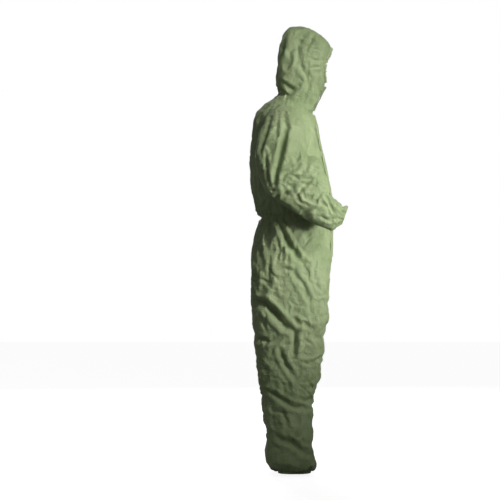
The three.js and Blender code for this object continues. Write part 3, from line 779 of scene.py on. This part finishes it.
def new_material(name):
    made = bpy.data.materials.new(name)
    made.use_nodes = True
    tree = made.node_tree
    tree.nodes.clear()
    shader = add_node(tree, "ShaderNodeBsdfPrincipled")
    add_node(tree, "ShaderNodeOutputMaterial", _0=shader.outputs[0])
    return made, tree, shader


def coated_nonwoven(name, colour, shade, seam=None):
    """Spun-bonded polypropylene with a film laminated over it: a dull, slightly waxy sheet that
    holds sharp creases, with fine fibres and small crinkles showing through the film."""
    made, tree, shader = new_material(name)
    place = add_node(tree, "ShaderNodeAttribute", {"attribute_name": "rest_place"}).outputs["Vector"]
    # The film's own unevenness, over 125 mm.
    clouds = add_node(tree, "ShaderNodeTexNoise", {"Scale": 8.0, "Detail": 3.0}, Vector=place)
    # Spun fibres are a few hundredths of a millimetre apart, too fine to show, so they are drawn at 3 mm.
    fibres = add_node(tree, "ShaderNodeTexNoise", {"Scale": 330.0, "Detail": 2.0, "Roughness": 0.7}, Vector=place)
    # Crinkles 33 mm apart that handling leaves in the film.
    crumple = add_node(tree, "ShaderNodeTexNoise",
                       {"Scale": 30.0, "Detail": 5.0, "Roughness": 0.6, "Distortion": 0.8}, Vector=place)
    centred = add_node(tree, "ShaderNodeMath", {"operation": "SUBTRACT", 1: 0.5}, _0=crumple.outputs[0])
    crease = add_node(tree, "ShaderNodeMath", {"operation": "ABSOLUTE"}, _0=centred.outputs[0])
    tone = add_node(tree, "ShaderNodeMix", {"data_type": "RGBA"})
    tone.inputs[6].default_value = linear(colour)
    tone.inputs[7].default_value = linear(shade)
    spread = add_node(tree, "ShaderNodeMapRange",
                      {"From Min": 0.35, "From Max": 0.7, "To Min": 0.0, "To Max": 0.7}, _0=clouds.outputs[0])
    tree.links.new(spread.outputs[0], tone.inputs[0])
    speck = add_node(tree, "ShaderNodeMapRange",
                     {"From Min": 0.3, "From Max": 0.7, "To Min": 0.93, "To Max": 1.05}, _0=fibres.outputs[0])
    mixed = add_node(tree, "ShaderNodeMix", {"data_type": "RGBA", "blend_type": "MULTIPLY"})
    mixed.inputs[0].default_value = 1.0
    tree.links.new(tone.outputs[2], mixed.inputs[6])
    tree.links.new(speck.outputs[0], mixed.inputs[7])
    tree.links.new(mixed.outputs[2], shader.inputs["Base Color"])
    rough = add_node(tree, "ShaderNodeMapRange",
                     {"From Min": 0.2, "From Max": 0.8, "To Min": 0.5, "To Max": 0.66}, _0=clouds.outputs[0])
    tree.links.new(rough.outputs[0], shader.inputs["Roughness"])
    coarse = add_node(tree, "ShaderNodeBump", {"Strength": 1.0, "Distance": 0.011}, Height=crease.outputs[0])
    if seam is not None:
        # A turned and taped seam runs up the suit at this distance to each side: a ridge 7 mm wide.
        parted = add_node(tree, "ShaderNodeSeparateXYZ", Vector=place)
        off_middle = add_node(tree, "ShaderNodeMath", {"operation": "ABSOLUTE"}, _0=parted.outputs[1])
        past = add_node(tree, "ShaderNodeMath", {"operation": "SUBTRACT", 1: seam}, _0=off_middle.outputs[0])
        away = add_node(tree, "ShaderNodeMath", {"operation": "ABSOLUTE"}, _0=past.outputs[0])
        ridge = add_node(tree, "ShaderNodeMapRange",
                         {"From Max": 0.0035, "To Min": 1.0, "To Max": 0.0}, _0=away.outputs[0])
        coarse = add_node(tree, "ShaderNodeBump", {"Strength": 0.9, "Distance": 0.0015},
                          Height=ridge.outputs[0], Normal=coarse.outputs[0])
    fine = add_node(tree, "ShaderNodeBump", {"Strength": 0.25, "Distance": 0.0006},
                    Height=fibres.outputs[0], Normal=coarse.outputs[0])
    tree.links.new(fine.outputs[0], shader.inputs["Normal"])
    shader.inputs["Specular IOR Level"].default_value = 0.3
    shader.inputs["Sheen Weight"].default_value = 0.03
    shader.inputs["Sheen Roughness"].default_value = 0.5
    return made


def keep_place(piece):
    """Records where each point rests, which the cloth's pattern follows."""
    data = piece.data
    rest = data.attributes.new("rest_place", "FLOAT_VECTOR", "POINT")
    rest.data.foreach_set("vector", in_frame(places(data)))


def two_tones(tree, shader, first, second, share):
    """Colours a surface from one hex colour to another."""
    tone = add_node(tree, "ShaderNodeMix",
                    {"data_type": "RGBA", 6: linear(first), 7: linear(second)}, _0=share.outputs[0])
    tree.links.new(tone.outputs[2], shader.inputs["Base Color"])


def woven_tape():
    """Polyester tape woven in a plain weave: matt, with fine ribs across its length."""
    made, tree, shader = new_material("woven polyester tape")
    place = add_node(tree, "ShaderNodeTexCoord").outputs["Object"]
    # Ribs 0.5 mm apart are too fine to show, so they are drawn 1.6 mm apart.
    ribs = add_node(tree, "ShaderNodeTexWave",
                    {"wave_type": "BANDS", "bands_direction": "Z", "Scale": 200.0, "Distortion": 0.4}, Vector=place)
    warp = add_node(tree, "ShaderNodeTexWave",
                    {"wave_type": "BANDS", "bands_direction": "Y", "Scale": 260.0}, Vector=place)
    both = add_node(tree, "ShaderNodeMath", {"operation": "MULTIPLY"}, _0=ribs.outputs[1], _1=warp.outputs[1])
    two_tones(tree, shader, "#4b5a3a", "#62724c", both)
    bump = add_node(tree, "ShaderNodeBump", {"Strength": 0.5, "Distance": 0.0004}, Height=both.outputs[0])
    tree.links.new(bump.outputs[0], shader.inputs["Normal"])
    shader.inputs["Roughness"].default_value = 0.85
    return made


def coil_nylon():
    """Extruded nylon monofilament: smooth, with a soft shine."""
    made, tree, shader = new_material("nylon monofilament")
    place = add_node(tree, "ShaderNodeTexCoord").outputs["Object"]
    wear = add_node(tree, "ShaderNodeTexNoise", {"Scale": 160.0, "Detail": 2.0}, Vector=place)
    two_tones(tree, shader, "#45543a", "#5a6a49", wear)
    shader.inputs["Roughness"].default_value = 0.38
    shader.inputs["IOR"].default_value = 1.53
    return made


def enamelled_zinc():
    """Die-cast zinc under a baked enamel: an even gloss that is thinner and brighter where it rubs."""
    made, tree, shader = new_material("enamelled zinc casting")
    place = add_node(tree, "ShaderNodeTexCoord").outputs["Object"]
    rub = add_node(tree, "ShaderNodeTexNoise", {"Scale": 240.0, "Detail": 3.0}, Vector=place)
    worn = add_node(tree, "ShaderNodeMapRange", {"From Min": 0.55, "From Max": 0.75}, _0=rub.outputs[0])
    two_tones(tree, shader, "#3d4a2e", "#6c7658", worn)
    rough = add_node(tree, "ShaderNodeMapRange", {"To Min": 0.28, "To Max": 0.5}, _0=rub.outputs[0])
    tree.links.new(rough.outputs[0], shader.inputs["Roughness"])
    shader.inputs["Coat Weight"].default_value = 0.3
    return made


def release_liner():
    """Silicone-coated paper over the adhesive: smooth and bright, with a faint fibre mottle."""
    made, tree, shader = new_material("silicone-coated paper")
    place = add_node(tree, "ShaderNodeTexCoord").outputs["Object"]
    mottle = add_node(tree, "ShaderNodeTexNoise", {"Scale": 420.0, "Detail": 2.0}, Vector=place)
    two_tones(tree, shader, "#e9e6d9", "#f4f2ea", mottle)
    shader.inputs["Roughness"].default_value = 0.3
    return made


# ---- what a user would change
class SuitSettings(bpy.types.PropertyGroup):
    voxel: bpy.props.FloatProperty(
        name="Cloth spacing", description="Distance between cloth points, in millimetres",
        default=9.0, min=6, max=14,
    )
    looseness: bpy.props.FloatProperty(
        name="Looseness", description="How much larger the cloth is than the form under it",
        default=0.06, min=0, max=0.15, subtype="FACTOR",
    )
    frames: bpy.props.IntProperty(
        name="Draping frames", description="How long the cloth is left to settle",
        default=22, min=5, max=60,
    )
    cloth_colour: bpy.props.StringProperty(
        name="Cloth", description="sRGB hex colour of the coated cloth",
        default="#8d9b72",
    )
    cloth_shade: bpy.props.StringProperty(
        name="Cloth, thinner film", description="sRGB hex colour where the film is thin",
        default="#74855a",
    )


class SUIT_OT_cloth(bpy.types.Operator):
    """Makes the body, hood, sleeves and legs as one draped cloth, parted where the suit moves"""

    bl_idname = "suit.cloth"
    bl_label = "Suit cloth"

    def execute(self, context):
        settings = context.scene.protective_suit
        form = suit_form(settings.voxel)
        press_folds(form)
        drape(form, settings.looseness, settings.frames)
        crinkle(form)
        corners, faces = [v.co for v in form.data.vertices], [p.vertices for p in form.data.polygons]
        built["skin"] = BVHTree.FromPolygons(corners, faces)
        open_ends(form)
        record_rest(form)
        pieces = split_suit(form)
        colours = settings.cloth_colour, settings.cloth_shade
        cloth = built["cloth"] = coated_nonwoven("coated non-woven, olive", *colours)
        panelled = {
            "hood_cloth": coated_nonwoven("coated non-woven, hood panels", *colours, seam=0.044),
            "body_cloth": coated_nonwoven("coated non-woven, back panels", *colours, seam=0.0),
        }
        for name, piece in pieces.items():
            piece.data.materials.clear()
            piece.data.materials.append(panelled.get(name, cloth))
        self.join_to_frame(pieces)
        return {"FINISHED"}

    def join_to_frame(self, pieces):
        body = pieces["body_cloth"]
        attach(body, "torso")
        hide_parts("front_panel_left", "front_panel_right", "back_panel_left", "back_panel_right",
                    "side_seam_tape_left", "side_seam_tape_right", "centre_back_tape", "crotch_gusset", "waist_elastic")
        hood = pieces["hood_cloth"]
        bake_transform(hood)
        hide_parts("hood_side_left", "hood_side_right", "hood_centre_panel", "hood_throat_panel")
        for word, side in SIDES:
            upper = pieces["upper_sleeve_cloth_" + word]
            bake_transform(upper)
            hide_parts("upper_sleeve_" + word)
            forearm = pieces["forearm_cloth_" + word]
            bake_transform(forearm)
            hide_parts("forearm_sleeve_" + word, "cuff_hem_" + word, "wrist_elastic_" + word)
            thigh = pieces["thigh_cloth_" + word]
            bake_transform(thigh)
            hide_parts("thigh_front_" + word, "thigh_back_" + word)
            shin = pieces["shin_cloth_" + word]
            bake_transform(shin)
            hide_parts("shin_front_" + word, "shin_back_" + word,
                        "ankle_hem_" + word, "ankle_elastic_" + word)


def finish_piece(piece, material, slot, body, *nodes):
    piece.data.materials.clear()
    piece.data.materials.append(material)
    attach(piece, body)
    if nodes:
        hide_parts(*nodes)


class SUIT_OT_face(bpy.types.Operator):
    """Makes the puckered elastic casing round the face"""

    bl_idname = "suit.face"
    bl_label = "Face binding"

    def execute(self, context):
        binding = face_binding()
        keep_place(binding)
        finish_piece(binding, built["cloth"], "laminate", "hood", "face_elastic")
        return {"FINISHED"}


class SUIT_OT_flaps(bpy.types.Operator):
    """Makes the storm flap over the zip and the chin flap, with their adhesive strips"""

    bl_idname = "suit.flaps"
    bl_label = "Storm and chin flaps"

    def execute(self, context):
        liner = release_liner()
        upper = strip("storm_flap_cloth", FLAP, (1107, 1437), flap_lift, (14, 100), CLOTH_WALL)
        lower = strip("storm_flap_fixed_cloth", FLAP, (868, 1106), flap_lift, (14, 72), CLOTH_WALL)
        chin = strip("chin_flap_cloth", CHIN_FLAP, CHIN_HEIGHTS, chin_lift, (22, 26), CLOTH_WALL, round_off=0.22)
        for piece, body, node in (
            (upper, "storm_flap", "storm_flap_upper"),
            (lower, "torso", "storm_flap_lower"),
            (chin, "chin_flap", "chin_flap"),
        ):
            keep_place(piece)
            finish_piece(piece, built["cloth"], "laminate", body, node)
        long = strip("storm_flap_liner", (-25, -15), (1114, 1428),
                     lambda share, along, y, h: flap_lift(share_between(y, FLAP), along, y, h) - 1.4, (2, 90), 0.25)
        short = strip("chin_flap_liner", (-42, -32), (1466, 1540),
                      lambda share, along, y, h: chin_lift(
                          share_between(y, CHIN_FLAP), share_between(h, CHIN_HEIGHTS), y, h) - 3.0, (2, 20), 0.25)
        for piece, body, node in ((long, "storm_flap", "storm_flap_adhesive"), (short, "chin_flap", "chin_flap_adhesive")):
            finish_piece(piece, liner, "release_liner", body, node)
        return {"FINISHED"}


class SUIT_OT_zip(bpy.types.Operator):
    """Makes the zip's woven tapes and coil teeth, and finishes its slider, pull and stops"""

    bl_idname = "suit.zip"
    bl_label = "Zip"

    def execute(self, context):
        tape, nylon, enamel = woven_tape(), coil_nylon(), enamelled_zinc()
        line = front_line(0, 870, 1440, 120)
        for word, side in SIDES:
            edge = strip("zip_tape_cloth_" + word, sorted((4.2 * side, 18.2 * side)), (878, 1434),
                         lambda share, along, y, h: 1.3, (4, 90), 0.7)
            finish_piece(edge, tape, "zip_tape", "torso", "zip_tape_" + word)
            coil = teeth("zip_coil_" + word, side, line)
            finish_piece(coil, nylon, "nylon", "torso", "zip_teeth_" + word)
        for name in ("zip_slider", "zip_pull", "zip_top_stop_left", "zip_top_stop_right", "zip_bottom_stop"):
            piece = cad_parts[name]
            piece.data.materials.clear()
            piece.data.materials.append(enamel)
        return {"FINISHED"}


class SUIT_OT_stage(bpy.types.Operator):
    """Sets out the pale floor, the lights and the camera"""

    bl_idname = "suit.stage"
    bl_label = "Stage"

    def execute(self, context):
        scene = context.scene
        mesh = bmesh.new()
        bmesh.ops.create_grid(mesh, x_segments=1, y_segments=1, size=12)
        floor = new_object("floor", mesh)
        just_below = 0.004
        floor.location.z = (0 - CARRY_HEIGHT) / 1000 - just_below
        pale, tree, shader = new_material("pale painted floor")
        shader.inputs["Base Color"].default_value = (0.42, 0.42, 0.42, 1)
        shader.inputs["Roughness"].default_value = 0.9
        glow = add_node(tree, "ShaderNodeEmission", {"Color": (1, 1, 1, 1), "Strength": 0.9})
        both = add_node(tree, "ShaderNodeAddShader", _0=shader.outputs[0], _1=glow.outputs[0])
        path = add_node(tree, "ShaderNodeLightPath")
        mix = add_node(tree, "ShaderNodeMixShader",
                       _0=path.outputs["Is Camera Ray"], _1=shader.outputs[0], _2=both.outputs[0])
        out = next(node for node in tree.nodes if node.type == "OUTPUT_MATERIAL")
        tree.links.new(mix.outputs[0], out.inputs[0])
        floor.data.materials.append(pale)

        world = bpy.data.worlds.new("soft white room")
        scene.world = world
        world.use_nodes = True
        tree = world.node_tree
        tree.nodes.clear()
        seen = add_node(tree, "ShaderNodeBackground", {"Color": (1, 1, 1, 1), "Strength": 1.0})
        lit = add_node(tree, "ShaderNodeBackground", {"Color": (1, 1, 1, 1), "Strength": 0.14})
        path = add_node(tree, "ShaderNodeLightPath")
        mix = add_node(tree, "ShaderNodeMixShader",
                       _0=path.outputs["Is Camera Ray"], _1=lit.outputs[0], _2=seen.outputs[0])
        add_node(tree, "ShaderNodeOutputWorld", _0=mix.outputs[0])

        for name, place, aim, size, power, beam in (
            ("soft key", Vector((1.6, -2.2, 1.5)), Vector((0, 0, 0.12)), 0.8, 7.0, 50),
            ("hip light", Vector((2.4, -2.2, -0.35)), Vector((0.1, 0, -0.42)), 0.5, 3.8, 30),
            ("fill", Vector((-2.6, -5.0, 0.6)), Vector((0, 0, -0.4)), 3.0, 8, 180),
            ("far side", Vector((-0.5, 4.5, 1.0)), Vector((0, 0, -0.4)), 1.6, 80, 180),
        ):
            light = bpy.data.lights.new(name, "AREA")
            light.energy, light.size, light.spread = power, size, math.radians(beam)
            lamp = bpy.data.objects.new(name, light)
            lamp.location = place
            lamp.rotation_euler = (aim - place).to_track_quat("-Z", "Y").to_euler()
            scene.collection.objects.link(lamp)

        lens = bpy.data.cameras.new("long lens")
        lens.lens, lens.sensor_width = 150, 36
        lens.clip_end = 100
        camera = bpy.data.objects.new("long lens", lens)
        camera.location = (-0.161, -8.4, -0.545)
        camera.rotation_euler = (math.radians(90), 0, 0)
        scene.collection.objects.link(camera)
        scene.camera = camera
        scene.view_settings.view_transform = "Standard"
        return {"FINISHED"}


class SUIT_PT_panel(bpy.types.Panel):
    """The suit's sizes, colours and parts"""

    bl_idname = "SUIT_PT_panel"
    bl_label = "Protective suit"
    bl_space_type = "VIEW_3D"
    bl_region_type = "UI"
    bl_category = "Protective suit"

    def draw(self, context):
        for name in SuitSettings.__annotations__:
            self.layout.prop(context.scene.protective_suit, name)
        for step in STEPS:
            self.layout.operator(step.bl_idname)


STEPS = (SUIT_OT_cloth, SUIT_OT_face, SUIT_OT_flaps, SUIT_OT_zip, SUIT_OT_stage)
CLASSES = (SuitSettings, *STEPS, SUIT_PT_panel)


def register():
    for each in CLASSES:
        bpy.utils.register_class(each)
    bpy.types.Scene.protective_suit = bpy.props.PointerProperty(type=SuitSettings)


def unregister():
    del bpy.types.Scene.protective_suit
    for each in reversed(CLASSES):
        bpy.utils.unregister_class(each)


def main():
    register()
    bpy.ops.suit.cloth()
    bpy.ops.suit.face()
    bpy.ops.suit.flaps()
    bpy.ops.suit.zip()
    bpy.ops.suit.stage()


if __name__ == "__main__":
    main()
